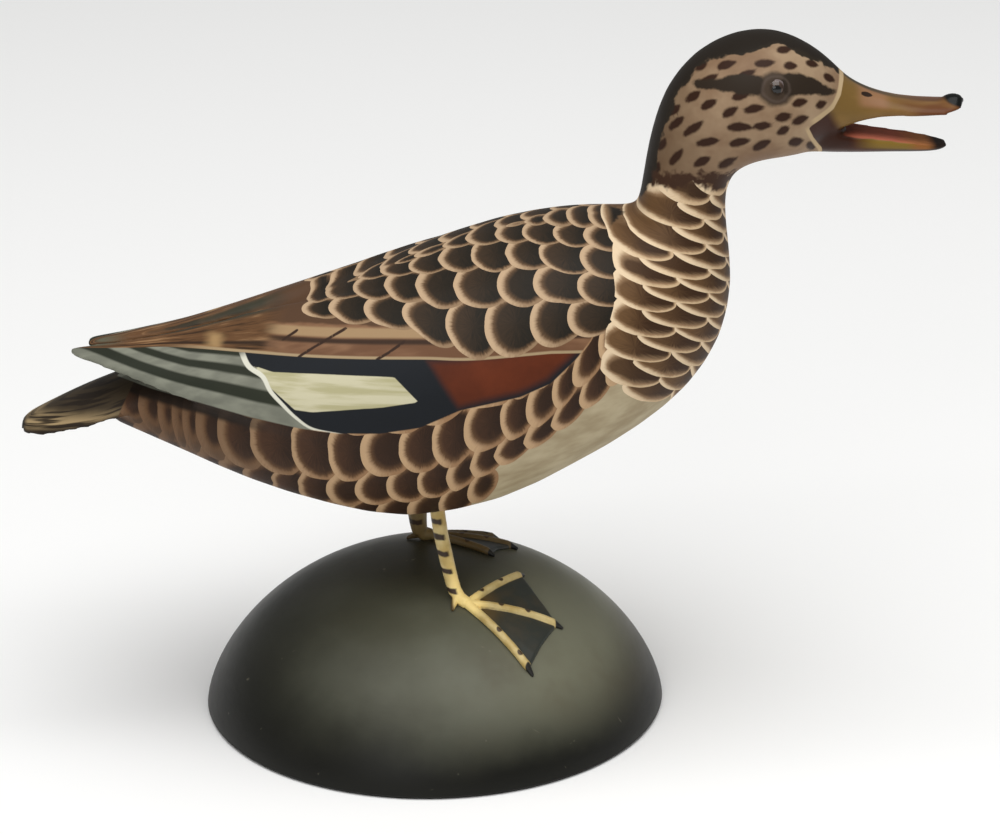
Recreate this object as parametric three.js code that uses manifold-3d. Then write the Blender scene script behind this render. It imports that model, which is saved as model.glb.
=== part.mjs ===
// A miniature hen gadwall, carved in wood and painted, calling with an open bill.
// She stands on two cast legs with webbed feet, on a domed wooden base.
//
// Millimetres, +Z up. The origin is the middle of the base's flat underside, and the bill points along +X.

import * as THREE from 'three';
import { mergeVertices } from 'three/addons/utils/BufferGeometryUtils.js';
import Module from 'manifold-3d';

const wasm = await Module();
wasm.setup();

// The base: a solid dome, turned round
const BASE_RADIUS = 28;
const BASE_HEIGHT = 18.8;
const BASE_EDGE = 0.4; // bevel where the side meets the underside
const BASE_SIDE_POWER = 2 / 2.1; // how the radius falls off towards the top
const BASE_RISE_POWER = 2 / 1.55; // how the height grows from the rim

// The carved bird: one station of the pattern per row, from the root of the tail to the face.
// back x, back z, belly x, belly z, half width
const BODY = [
  [-38.0, 41.9, -37.4, 38.0, 4.2],
  [-34.0, 43.9, -34.2, 36.7, 6.6],
  [-28.2, 46.3, -28.7, 34.3, 9.6],
  [-20.2, 49.6, -21.2, 31.0, 13.2],
  [-11.2, 53.4, -12.2, 28.0, 16.2],
  [-1.2, 57.3, -2.7, 26.2, 17.8],
  [8.8, 60.6, 8.0, 28.1, 17.7],
  [16.6, 62.0, 17.0, 32.3, 16.2],
  [21.6, 62.2, 24.6, 36.7, 14.2],
  [24.0, 62.3, 30.6, 41.6, 11.9],
  [24.7, 62.8, 34.4, 47.4, 9.7],
  [25.0, 63.8, 35.7, 53.8, 7.8],
  [25.3, 65.4, 35.2, 60.1, 6.0],
  [25.7, 68.1, 35.0, 64.6, 5.3],
  [26.5, 72.2, 36.2, 67.5, 5.8],
  [28.2, 77.0, 38.8, 68.8, 7.0],
  [31.5, 81.0, 40.9, 69.2, 8.1],
  [36.0, 83.3, 42.4, 69.4, 8.5],
  [40.6, 83.6, 43.6, 69.6, 7.9],
  [44.6, 82.0, 45.0, 69.9, 6.2],
  [47.2, 80.0, 46.2, 70.3, 4.4],
  [49.0, 78.2, 47.4, 70.9, 3.0],
];
const BODY_STEPS = 2; // rings cut between two stations
const BODY_SIDES = 32; // points around a ring
const WIDEST_AT = 0.5; // how far up from the belly a ring is widest
const SECTION_POWER = 2.15; // 2 is an ellipse, more is squarer

// The folded wings lie on the body like a cloak and run on past the rump as two free tips.
// x, crest z, level of the widest point z, half width, upper edge and lower edge in degrees round from the crest
const CLOAK = [
  [13.8, 61.5, 45.6, 17.0, 44, 80],
  [7.8, 60.7, 44.4, 18.0, 38, 90],
  [-0.2, 58.2, 42.8, 18.2, 28, 96],
  [-8.2, 55.3, 42.0, 17.5, 17, 98],
  [-16.2, 52.7, 42.0, 15.7, 7, 94],
  [-23.2, 50.5, 42.6, 13.2, 2, 89],
  [-29.2, 48.9, 43.4, 10.4, 2, 87],
  [-34.2, 48.0, 44.7, 7.6, 3, 88],
  [-38.2, 47.4, 45.6, 5.4, 4, 86],
  [-41.2, 47.1, 46.2, 3.9, 6, 72],
  [-42.2, 47.0, 46.3, 3.3, 9, 58],
  [-42.6, 46.9, 46.3, 2.7, 16, 44],
];
const WING_THICK = 1.7;
const WING_TIP_THICK = 0.8;
const LEFT_WING_SHORTER = 2; // the left wing's tip stops short of the right one's

// The tail: a shallow fan, arched across. x, ridge z, half width
const TAIL = [
  [-32.0, 44.9, 6.7],
  [-36.5, 43.1, 6.8],
  [-40.1, 41.7, 6.5],
  [-43.2, 40.3, 5.8],
  [-45.8, 39.0, 4.9],
  [-47.6, 38.1, 3.8],
  [-48.5, 37.6, 2.5],
  [-48.9, 37.4, 0.8],
];
const TAIL_ARCH = 0.052; // drop of the edges for each mm squared of half width
const TAIL_THICK = 1.1;
const TAIL_TIP_THICK = 0.6;

// The bill. x, top z, bottom z, half width
const UPPER_BILL = [
  [44.5, 80.6, 72.1, 4.4],
  [47.0, 80.0, 72.1, 4.2],
  [49.2, 78.2, 72.7, 3.5],
  [51.5, 76.9, 73.3, 3.0],
  [54.5, 75.9, 73.6, 3.0],
  [57.5, 75.4, 73.7, 3.25],
  [60.3, 75.2, 73.9, 3.2],
  [61.9, 75.2, 74.1, 2.3],
  [62.6, 75.0, 74.4, 0.9],
];
const LOWER_BILL = [
  [44.0, 72.6, 69.7, 4.2],
  [47.2, 72.7, 69.5, 3.8],
  [50.5, 72.3, 69.3, 3.1],
  [54.0, 71.7, 69.3, 2.8],
  [57.5, 71.1, 69.3, 2.7],
  [59.8, 70.7, 69.4, 2.2],
  [61.0, 70.4, 69.8, 0.9],
];
const BILL_HOLLOW = 0.5; // how deep the inside of each half is scooped
const BILL_NAIL = { x: 61.4, z: 75.3, length: 1.4, width: 1.2, height: 0.85 };

// Glass eyes, let into the sides of the head
const EYE = { x: 40.0, z: 79.2, radius: 1.15, standsOut: 0.5, headHalfWidth: 7.8 };

// Legs and feet. A foot is measured from the hub where its toes part. Toe angles run outwards from straight ahead
const ANKLE_RADIUS = 0.78;
const TOE_RADIUS = 0.5;
const TOE_END_RADIUS = 0.42;
const CLAW_LENGTH = 1.1;
const CLAW_TIP_RADIUS = 0.12;
const HIND_TOE_LENGTH = 1.9;
const WEB_THICK = 0.35;
const WEB_REACH = 0.93; // share of the toes that the web covers
const WEB_HOLLOW = 0.1; // how deep the web's front edge is scooped, as a share of a toe
const FEET = {
  right_leg: {
    side: -1,
    hip: [0.3, -6.4],
    ankle: [2.8, -10.1],
    hub: [4.0, -11.1],
    radius: 0.8,
    toes: [[-50, 10.9], [-4, 11.4], [43, 10.3]],
    hindToe: 108,
  },
  left_leg: {
    side: 1,
    hip: [-1.9, 5.9],
    ankle: [-1.3, 6.0],
    hub: [-0.1, 5.9],
    radius: 1.3,
    toes: [[-34, 9.2], [-2, 10.6], [19, 8.8]],
    hindToe: 165,
  },
};
const LEG_TOP = 29; // the legs run up to here and are cut off by the belly

const GAP = 0.3; // clearance where one piece stands on another

const CAST_PAINT = { roughness: 0.5, metalness: 0 };
const duckPaint = new THREE.MeshStandardMaterial({ color: 0x6e553c, roughness: 0.6, metalness: 0 });
const legPaint = new THREE.MeshStandardMaterial({ color: 0xcfa94e, ...CAST_PAINT });
const basePaint = new THREE.MeshStandardMaterial({ color: 0x4a4b42, roughness: 0.4, metalness: 0 });
const eyeGlass = new THREE.MeshStandardMaterial({ color: 0x241c18, roughness: 0.1, metalness: 0 });

// A smooth row through a pattern's rows, at t from 0 to 1 along the whole pattern
function patternAt(rows, t) {
  const last = rows.length - 1;
  const at = Math.min(t * last, last - 1e-9);
  const i = Math.floor(at);
  const s = at - i;
  const row = (k) => rows[Math.max(0, Math.min(last, k))];
  return rows[i].map((_, c) => {
    const [a, b, d, e] = [row(i - 1)[c], row(i)[c], row(i + 1)[c], row(i + 2)[c]];
    return b + 0.5 * s * (d - a + s * (2 * a - 5 * b + 4 * d - e + s * (3 * (b - d) + e - a)));
  });
}

const power = (value, n) => Math.sign(value) * Math.abs(value) ** n;

function geometryOf(points, faces) {
  const geometry = new THREE.BufferGeometry();
  geometry.setAttribute('position', new THREE.Float32BufferAttribute(points.flat(), 3));
  geometry.setIndex(faces.flat());
  return geometry;
}

// A closed skin over rings of points; each end is closed by a fan
function loft(rings) {
  const around = rings[0].length;
  const points = rings.flat();
  const faces = [];
  for (let i = 0; i < rings.length - 1; i++) {
    for (let j = 0; j < around; j++) {
      const [a, b] = [i * around + j, i * around + ((j + 1) % around)];
      faces.push([a, b, b + around], [a, b + around, a + around]);
    }
  }
  const middle = (ring) => [0, 1, 2].map((c) => ring.reduce((sum, p) => sum + p[c], 0) / around);
  const first = points.push(middle(rings[0])) - 1;
  const last = points.push(middle(rings.at(-1))) - 1;
  const lastRing = (rings.length - 1) * around;
  for (let j = 0; j < around; j++) {
    const k = (j + 1) % around;
    faces.push([first, k, j], [last, lastRing + j, lastRing + k]);
  }
  return geometryOf(points, faces);
}

// A closed plate between an upper and a lower surface, each (u, v) => point
function plate(upper, lower, across, along) {
  const rings = [];
  for (let i = 0; i <= along; i++) {
    const ring = [];
    for (let j = 0; j <= across; j++) ring.push(upper(j / across, i / along));
    for (let j = across; j >= 0; j--) ring.push(lower(j / across, i / along));
    rings.push(ring);
  }
  return loft(rings);
}

function solidOf(geometry) {
  const bare = geometry.clone();
  bare.deleteAttribute('normal');
  bare.deleteAttribute('uv');
  const merged = mergeVertices(bare, 1e-5);
  const corners = merged.index.array;
  const triVerts = [];
  for (let i = 0; i < corners.length; i += 3) {
    const [a, b, c] = corners.slice(i, i + 3);
    if (a !== b && b !== c && c !== a) triVerts.push(a, b, c);
  }
  const solid = new wasm.Manifold(
    new wasm.Mesh({
      numProp: 3,
      vertProperties: new Float32Array(merged.attributes.position.array),
      triVerts: new Uint32Array(triVerts),
    }),
  );
  if (solid.volume() > 0) return solid;
  for (let i = 0; i < triVerts.length; i += 3) {
    [triVerts[i], triVerts[i + 1]] = [triVerts[i + 1], triVerts[i]];
  }
  return new wasm.Manifold(
    new wasm.Mesh({
      numProp: 3,
      vertProperties: new Float32Array(merged.attributes.position.array),
      triVerts: new Uint32Array(triVerts),
    }),
  );
}

function geometryFrom(solid) {
  const mesh = solid.getMesh();
  const geometry = new THREE.BufferGeometry();
  geometry.setAttribute('position', new THREE.Float32BufferAttribute(mesh.vertProperties, 3));
  geometry.setIndex([...mesh.triVerts]);
  return geometry;
}

const moved = (geometry, x, y, z) => geometry.clone().translate(x, y, z);

// The base
function domeHeight(x, y) {
  const share = Math.min(1, Math.hypot(x, y) / BASE_RADIUS);
  const angle = Math.acos(share ** (1 / BASE_SIDE_POWER));
  return BASE_HEIGHT * Math.sin(angle) ** BASE_RISE_POWER;
}

function baseGeometry() {
  const profile = [new THREE.Vector2(0, 0), new THREE.Vector2(BASE_RADIUS - BASE_EDGE, 0)];
  const steps = 11;
  const from = Math.asin((BASE_EDGE / BASE_HEIGHT) ** (1 / BASE_RISE_POWER));
  for (let i = 0; i < steps; i++) {
    const angle = from + (Math.PI / 2 - from) * (i / steps);
    const radius = BASE_RADIUS * Math.cos(angle) ** BASE_SIDE_POWER;
    profile.push(new THREE.Vector2(radius, BASE_HEIGHT * Math.sin(angle) ** BASE_RISE_POWER));
  }
  profile.push(new THREE.Vector2(0, BASE_HEIGHT));
  return new THREE.LatheGeometry(profile, 48).rotateX(Math.PI / 2);
}

// Torso, neck and head, in one run of rings
function bodyRing(row) {
  const [backX, backZ, bellyX, bellyZ, halfWidth] = row;
  const wideX = bellyX + (backX - bellyX) * WIDEST_AT;
  const wideZ = bellyZ + (backZ - bellyZ) * WIDEST_AT;
  const ring = [];
  for (let j = 0; j < BODY_SIDES; j++) {
    const angle = (j / BODY_SIDES) * Math.PI * 2;
    const up = power(Math.cos(angle), 2 / SECTION_POWER);
    const out = power(Math.sin(angle), 2 / SECTION_POWER);
    const [toX, toZ] = up > 0 ? [backX - wideX, backZ - wideZ] : [wideX - bellyX, wideZ - bellyZ];
    ring.push([wideX + toX * up, -halfWidth * out, wideZ + toZ * up]);
  }
  return ring;
}

function bodyGeometry() {
  const count = (BODY.length - 1) * BODY_STEPS;
  const rings = [];
  for (let i = 0; i <= count; i++) rings.push(bodyRing(patternAt(BODY, i / count)));
  return loft(rings);
}

// One folded wing; side is -1 for the right wing and 1 for the left
function wingGeometry(side) {
  const across = 7;
  const along = 22;
  const surface = (inset) => (u, v) => {
    const [station, crest, level, halfWidth, from, to] = patternAt(CLOAK, v);
    const x = station + (side > 0 ? LEFT_WING_SHORTER * v ** 4 : 0);
    const angle = THREE.MathUtils.degToRad(from + (to - from) * u);
    const thick = inset * (WING_THICK + (WING_TIP_THICK - WING_THICK) * v);
    return [
      x,
      side * (halfWidth - thick) * Math.sin(angle),
      level + (crest - level) * Math.cos(angle) - thick * Math.cos(angle),
    ];
  };
  return plate(surface(0), surface(1), across, along);
}

function tailGeometry() {
  const surface = (share) => (u, v) => {
    const [x, ridge, halfWidth] = patternAt(TAIL, v);
    const y = (u * 2 - 1) * halfWidth;
    const thick = TAIL_THICK + (TAIL_TIP_THICK - TAIL_THICK) * v;
    return [x, y, ridge - y * y * TAIL_ARCH - share * thick];
  };
  return plate(surface(0), surface(1), 10, 10);
}

// Half of the bill: round outside and scooped inside, where inside is -1 below and 1 above
function billGeometry(pattern, inside) {
  const count = (pattern.length - 1) * 2;
  const around = 14;
  const rings = [];
  for (let i = 0; i <= count; i++) {
    const [x, top, bottom, halfWidth] = patternAt(pattern, i / count);
    const [inner, outer] = inside > 0 ? [top, bottom] : [bottom, top];
    const scoop = Math.min(BILL_HOLLOW, 0.4 * (top - bottom));
    const ring = [];
    for (let j = 0; j < around; j++) {
      const angle = (j / around) * Math.PI * 2;
      const across = power(Math.sin(angle), 0.8);
      const up = Math.cos(angle) * inside;
      const edge = inner + (outer - inner) * 0.25;
      const z = up > 0 ? edge + (inner - edge) * up ** 0.5 - inside * scoop * up : edge + (edge - outer) * up;
      ring.push([x, -halfWidth * across, z]);
    }
    rings.push(ring);
  }
  return loft(rings);
}

function nailGeometry() {
  return new THREE.SphereGeometry(1, 10, 6)
    .scale(BILL_NAIL.length, BILL_NAIL.width, BILL_NAIL.height)
    .translate(BILL_NAIL.x, 0, BILL_NAIL.z);
}

function carvedDuck() {
  return [
    wingGeometry(-1),
    wingGeometry(1),
    tailGeometry(),
    billGeometry(UPPER_BILL, -1),
    billGeometry(LOWER_BILL, 1),
    nailGeometry(),
  ].reduce((duck, geometry) => duck.add(solidOf(geometry)), solidOf(bodyGeometry()));
}

// A round rod along a curve, with a radius for each share of its length
function rodGeometry(curve, radiusAt, steps, sides) {
  const frames = curve.computeFrenetFrames(steps, false);
  const rings = [];
  for (let i = 0; i <= steps; i++) {
    const middle = curve.getPointAt(i / steps);
    const radius = radiusAt(i / steps);
    const ring = [];
    for (let j = 0; j < sides; j++) {
      const angle = (j / sides) * Math.PI * 2;
      const point = middle
        .clone()
        .addScaledVector(frames.normals[i], Math.cos(angle) * radius)
        .addScaledVector(frames.binormals[i], Math.sin(angle) * radius);
      ring.push(point.toArray());
    }
    rings.push(ring);
  }
  return loft(rings);
}

// A point on the dome, at a distance and an outward angle from a foot's hub, lifted by height
function domePoint({ side, hub }, angle, distance, height) {
  const turn = THREE.MathUtils.degToRad(side * angle);
  const x = hub[0] + Math.cos(turn) * distance;
  const y = hub[1] + Math.sin(turn) * distance;
  return new THREE.Vector3(x, y, domeHeight(x, y) + height);
}

function toeGeometry(foot, [angle, length]) {
  const clawFrom = (length - CLAW_LENGTH) / length;
  const radiusAt = (share) =>
    share < clawFrom
      ? TOE_RADIUS + (TOE_END_RADIUS - TOE_RADIUS) * (share / clawFrom)
      : TOE_END_RADIUS + (CLAW_TIP_RADIUS - TOE_END_RADIUS) * ((share - clawFrom) / (1 - clawFrom));
  const points = [0, 0.3, 0.6, clawFrom, 1].map((share) =>
    domePoint(foot, angle, length * share, GAP + radiusAt(share) * 0.9),
  );
  return rodGeometry(new THREE.CatmullRomCurve3(points), radiusAt, 8, 6);
}

// The web between two neighbouring toes
function webGeometry(foot, [fromAngle, fromLength], [toAngle, toLength]) {
  const surface = (height) => (u, v) => {
    const angle = fromAngle + (toAngle - fromAngle) * u;
    const length = fromLength + (toLength - fromLength) * u;
    const reach = v * WEB_REACH * (1 - WEB_HOLLOW * Math.sin(Math.PI * u));
    return domePoint(foot, angle, length * reach, height).toArray();
  };
  return plate(surface(GAP + WEB_THICK), surface(-GAP), 4, 4);
}

// One leg with its foot, trimmed to stand clear of the belly above and of the dome below
function legSolid(foot, duck, base) {
  const hub = domePoint(foot, 0, 0, GAP + TOE_RADIUS);
  const ankle = new THREE.Vector3(...foot.ankle, domeHeight(...foot.ankle) + GAP + ANKLE_RADIUS);
  const hip = new THREE.Vector3(...foot.hip, LEG_TOP);
  const shin = hip.clone().lerp(ankle, 0.55).add(new THREE.Vector3(-0.25, 0, 0));
  const shank = new THREE.CatmullRomCurve3([hip, shin, ankle, hub], false, 'centripetal');
  const shankRadius = (share) => foot.radius + (TOE_RADIUS * 1.3 - foot.radius) * share ** 3;
  const hindTip = new THREE.Vector3(
    foot.ankle[0] + Math.cos(THREE.MathUtils.degToRad(foot.side * foot.hindToe)) * HIND_TOE_LENGTH,
    foot.ankle[1] + Math.sin(THREE.MathUtils.degToRad(foot.side * foot.hindToe)) * HIND_TOE_LENGTH,
    0,
  );
  hindTip.z = domeHeight(hindTip.x, hindTip.y) + GAP + CLAW_TIP_RADIUS;
  const hind = new THREE.LineCurve3(ankle, hindTip);
  const hindRadius = (share) => TOE_RADIUS + (CLAW_TIP_RADIUS - TOE_RADIUS) * share;
  const pieces = [
    ...foot.toes.map((toe) => toeGeometry(foot, toe)),
    rodGeometry(hind, hindRadius, 3, 6),
    webGeometry(foot, foot.toes[0], foot.toes[1]),
    webGeometry(foot, foot.toes[1], foot.toes[2]),
  ];
  return pieces
    .reduce((leg, geometry) => leg.add(solidOf(geometry)), solidOf(rodGeometry(shank, shankRadius, 12, 10)))
    .subtract(solidOf(moved(base, 0, 0, GAP)))
    .subtract(duck.translate([0, 0, -GAP]));
}

function eyeSolid(side, duck) {
  const y = side * (EYE.headHalfWidth + EYE.standsOut - EYE.radius);
  const ball = new THREE.SphereGeometry(EYE.radius, 16, 10).translate(EYE.x, y, EYE.z);
  return solidOf(ball).subtract(duck.translate([0, side * GAP, 0]));
}

function namedMesh(name, geometry, material) {
  const mesh = new THREE.Mesh(geometry, material);
  mesh.name = name;
  return mesh;
}

const part = new THREE.Group();
const base = baseGeometry();
const duck = carvedDuck();
part.add(namedMesh('domed_base', base, basePaint));
part.add(namedMesh('carved_duck', geometryFrom(duck), duckPaint));
for (const [name, foot] of Object.entries(FEET)) {
  part.add(namedMesh(name, geometryFrom(legSolid(foot, duck, base)), legPaint));
}
for (const [name, side] of [['right_eye', -1], ['left_eye', 1]]) {
  part.add(namedMesh(name, geometryFrom(eyeSolid(side, duck)), eyeGlass));
}

export default part;
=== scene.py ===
import math
import bpy
import numpy as np
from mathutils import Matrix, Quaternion, Vector


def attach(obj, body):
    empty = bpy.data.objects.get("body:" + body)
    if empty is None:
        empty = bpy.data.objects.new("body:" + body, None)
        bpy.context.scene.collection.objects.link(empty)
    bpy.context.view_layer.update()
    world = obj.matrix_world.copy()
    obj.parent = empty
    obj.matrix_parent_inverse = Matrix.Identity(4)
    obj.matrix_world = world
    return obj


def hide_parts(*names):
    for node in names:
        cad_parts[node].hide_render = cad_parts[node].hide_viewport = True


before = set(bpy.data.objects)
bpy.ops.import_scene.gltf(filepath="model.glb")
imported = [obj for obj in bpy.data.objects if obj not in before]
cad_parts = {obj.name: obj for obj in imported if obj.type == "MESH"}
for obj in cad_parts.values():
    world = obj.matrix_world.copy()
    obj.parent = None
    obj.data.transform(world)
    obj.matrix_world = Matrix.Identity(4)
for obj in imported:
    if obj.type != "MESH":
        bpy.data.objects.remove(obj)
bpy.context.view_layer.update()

# The view, the floor and the light.
# The bird is seen from its right side and a little from above, with a long lens, on a pale floor.
# A large soft light stands overhead to the left, and the pale surroundings fill the shadows.
camera_data = bpy.data.cameras.new("camera")
camera = bpy.data.objects.new("camera", camera_data)
bpy.context.scene.collection.objects.link(camera)
bpy.context.scene.camera = camera
camera_data.sensor_width = 36
camera_data.lens = 130.86
camera_data.clip_start = 0.01
camera_data.clip_end = 20
camera.location = (0, -0.40404, 0.19811)
heading = math.radians(1.188)
dip = math.radians(21.778)
looking = Vector((math.sin(heading) * math.cos(dip), math.cos(heading) * math.cos(dip), -math.sin(dip)))
camera.rotation_mode = "QUATERNION"
camera.rotation_quaternion = looking.to_track_quat("-Z", "Y") @ Quaternion((0, 0, 1), math.radians(-0.64))

bpy.context.scene.view_settings.view_transform = "Standard"


def linear(red, green, blue):
    """A paint colour in 0 to 255, as the light it reflects."""
    shares = [c / 255 for c in (red, green, blue)]
    return tuple(s / 12.92 if s < 0.04045 else ((s + 0.055) / 1.055) ** 2.4 for s in shares) + (1.0,)


surroundings = bpy.data.worlds.new("surroundings")
bpy.context.scene.world = surroundings
surroundings.use_nodes = True
background = surroundings.node_tree.nodes["Background"]
background.inputs["Color"].default_value = (1, 1, 1, 1)
background.inputs["Strength"].default_value = 0.28


def soft_light(name, place, target, size, power):
    data = bpy.data.lights.new(name, "AREA")
    data.shape = "RECTANGLE"
    data.size, data.size_y = size
    data.energy = power
    light = bpy.data.objects.new(name, data)
    bpy.context.scene.collection.objects.link(light)
    light.location = place
    light.rotation_mode = "QUATERNION"
    light.rotation_quaternion = (Vector(target) - Vector(place)).to_track_quat("-Z", "Y")


MIDDLE_OF_BIRD = (0, 0, 0.04)
soft_light("overhead", (0.02, -0.18, 0.8), MIDDLE_OF_BIRD, (1.0, 0.8), 7.2)
soft_light("front", (-0.35, -0.9, 0.45), MIDDLE_OF_BIRD, (0.6, 0.5), 1.8)

bpy.ops.mesh.primitive_plane_add(size=6, location=(0, 0, 0))
floor = bpy.context.object
floor.name = "floor"


class Value:
    """A number or colour that varies over a surface, drawn as nodes in one node tree."""

    def __init__(self, socket):
        self.socket = socket

    def __add__(self, other):
        return reckon("ADD", self, other)

    def __radd__(self, other):
        return reckon("ADD", other, self)

    def __sub__(self, other):
        return reckon("SUBTRACT", self, other)

    def __rsub__(self, other):
        return reckon("SUBTRACT", other, self)

    def __mul__(self, other):
        return reckon("MULTIPLY", self, other)

    def __rmul__(self, other):
        return reckon("MULTIPLY", other, self)

    def __truediv__(self, other):
        return reckon("DIVIDE", self, other)

    def __rtruediv__(self, other):
        return reckon("DIVIDE", other, self)

    def __pow__(self, other):
        return reckon("POWER", self, other)


def plug(value, socket):
    """Sets a socket to a Value, or to a plain number or colour."""
    if isinstance(value, Value):
        socket.id_data.links.new(value.socket, socket)
    else:
        socket.default_value = value


def reckon(operation, *values):
    tree = next(v.socket.id_data for v in values if isinstance(v, Value))
    node = tree.nodes.new("ShaderNodeMath")
    node.operation = operation
    for place, value in enumerate(values):
        plug(value, node.inputs[place])
    return Value(node.outputs[0])


def ramp(value, low, high):
    """0 below low and 1 above high, with a smooth step between them."""
    node = value.socket.id_data.nodes.new("ShaderNodeMapRange")
    node.interpolation_type = "SMOOTHSTEP"
    plug(value, node.inputs["Value"])
    plug(low, node.inputs["From Min"])
    plug(high, node.inputs["From Max"])
    return Value(node.outputs["Result"])


def between(value, low, high, soft):
    """1 between low and high, with edges this soft."""
    return ramp(value, low - soft, low + soft) * (1 - ramp(value, high - soft, high + soft))


def over(share, below, above):
    """The colour above painted over the colour below, where share says."""
    node = share.socket.id_data.nodes.new("ShaderNodeMix")
    node.data_type = "RGBA"
    node.clamp_factor = True
    plug(share, node.inputs[0])
    plug(below, node.inputs[6])
    plug(above, node.inputs[7])
    return Value(node.outputs[2])


def new_group(name, given, given_back):
    """A group of nodes with named inputs and outputs, and the nodes that stand for them inside."""
    group = bpy.data.node_groups.new(name, "ShaderNodeTree")
    for in_out, sockets in (("INPUT", given), ("OUTPUT", given_back)):
        for socket in sockets:
            kind = "Vector" if socket in ("Place", "Stretch", "Rows", "Normal") else "Float"
            group.interface.new_socket(name=socket, in_out=in_out, socket_type="NodeSocket" + kind)
    return group, group.nodes.new("NodeGroupInput"), group.nodes.new("NodeGroupOutput")


# The nodes of soft mottling, and of the fine unevenness of brushed paint, which every finish uses.
NOISE_SETTINGS = ("Scale", "Detail", "Roughness")
mottling, given, given_back = new_group("mottling", ("Place", "Stretch") + NOISE_SETTINGS, ["Value"])
mapping = mottling.nodes.new("ShaderNodeMapping")
noise = mottling.nodes.new("ShaderNodeTexNoise")
mottling.links.new(given.outputs["Place"], mapping.inputs["Vector"])
mottling.links.new(given.outputs["Stretch"], mapping.inputs["Scale"])
mottling.links.new(mapping.outputs[0], noise.inputs["Vector"])
for name in NOISE_SETTINGS:
    mottling.links.new(given.outputs[name], noise.inputs[name])
mottling.links.new(noise.outputs[0], given_back.inputs["Value"])

GRAIN_SETTINGS = ("Height", "Distance", "Strength")
paint_grain, given, given_back = new_group("paint_grain", GRAIN_SETTINGS, ["Normal"])
relief = paint_grain.nodes.new("ShaderNodeBump")
for name in GRAIN_SETTINGS:
    paint_grain.links.new(given.outputs[name], relief.inputs[name])
paint_grain.links.new(relief.outputs[0], given_back.inputs["Normal"])


def speckle(place, scale, detail=3.0, roughness=0.55, stretch=(1, 1, 1)):
    """Soft noise from 0 to 1, at a place in space."""
    node = place.socket.id_data.nodes.new("ShaderNodeGroup")
    node.node_tree = mottling
    for name, value in (("Place", place), ("Stretch", stretch), ("Scale", scale), ("Detail", detail)):
        plug(value, node.inputs[name])
    node.inputs["Roughness"].default_value = roughness
    return Value(node.outputs[0])


def parts_of(vector):
    node = vector.socket.id_data.nodes.new("ShaderNodeSeparateXYZ")
    plug(vector, node.inputs[0])
    return [Value(s) for s in node.outputs]


def joined(*values):
    """Two or three numbers as a vector."""
    node = values[0].socket.id_data.nodes.new("ShaderNodeCombineXYZ")
    for part, value in enumerate(values):
        plug(value, node.inputs[part])
    return Value(node.outputs[0])


def new_material(name):
    """A material with its tree, its shader and the place of each point in the object, in metres."""
    material = bpy.data.materials.new(name)
    material.use_nodes = True
    tree = material.node_tree
    shader = tree.nodes["Principled BSDF"]
    place = Value(tree.nodes.new("ShaderNodeTexCoord").outputs["Object"])
    return material, tree, shader, place


def bump(tree, shader, height, distance, strength):
    node = tree.nodes.new("ShaderNodeGroup")
    node.node_tree = paint_grain
    for name, value in zip(GRAIN_SETTINGS, (height, distance, strength)):
        plug(value, node.inputs[name])
    tree.links.new(node.outputs[0], shader.inputs["Normal"])


pale_card, tree, shader, place = new_material("pale_card")
plug(over(speckle(place, 3), linear(247, 247, 246), linear(250, 250, 249)), shader.inputs["Base Color"])
shader.inputs["Roughness"].default_value = 0.9
floor.data.materials.append(pale_card)

# The base: a turned wooden dome on a flat underside, in dark grey-green satin paint.
# The paint is rubbed a little brown in places, with a few fine scratches; a broad highlight and the shade
# round it are painted into its colour. Sizes are in mm.
MM = 0.001
BASE_RADIUS = 28
BASE_HEIGHT = 18.8
BASE_EDGE = 0.4
SIDE_POWER = 2 / 2.1
RISE_POWER = 2 / 1.55
PAINT_SHARE = 0.9999
OUTLINE_STEPS = 40
base_outline = [(0, 0), (BASE_RADIUS - 2, 0), (BASE_RADIUS - BASE_EDGE, 0)]
first_angle = math.asin((BASE_EDGE / BASE_HEIGHT) ** (1 / RISE_POWER))
for step in range(OUTLINE_STEPS + 1):
    angle = first_angle + (math.pi / 2 - first_angle) * step / OUTLINE_STEPS
    radius = PAINT_SHARE * BASE_RADIUS * max(math.cos(angle), 0) ** SIDE_POWER
    base_outline.append((radius, BASE_HEIGHT * math.sin(angle) ** RISE_POWER))
base_mesh = bpy.data.meshes.new("domed_base_turned")
base_mesh.from_pydata(
    [(r * MM, 0, z * MM) for r, z in base_outline],
    [(i, i + 1) for i in range(len(base_outline) - 1)],
    [],
)
base = bpy.data.objects.new("domed_base_turned", base_mesh)
bpy.context.scene.collection.objects.link(base)
bpy.ops.object.select_all(action="DESELECT")
base.select_set(True)
bpy.context.view_layer.objects.active = base
bpy.ops.object.mode_set(mode="EDIT")
bpy.ops.mesh.select_all(action="SELECT")
bpy.ops.mesh.spin(steps=160, angle=math.tau, center=(0, 0, 0), axis=(0, 0, 1))
bpy.ops.mesh.select_all(action="SELECT")
bpy.ops.mesh.remove_doubles(threshold=0.00001)
bpy.ops.mesh.normals_make_consistent(inside=False)
bpy.ops.object.mode_set(mode="OBJECT")
bpy.ops.object.shade_smooth_by_angle(angle=math.radians(35))

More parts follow.
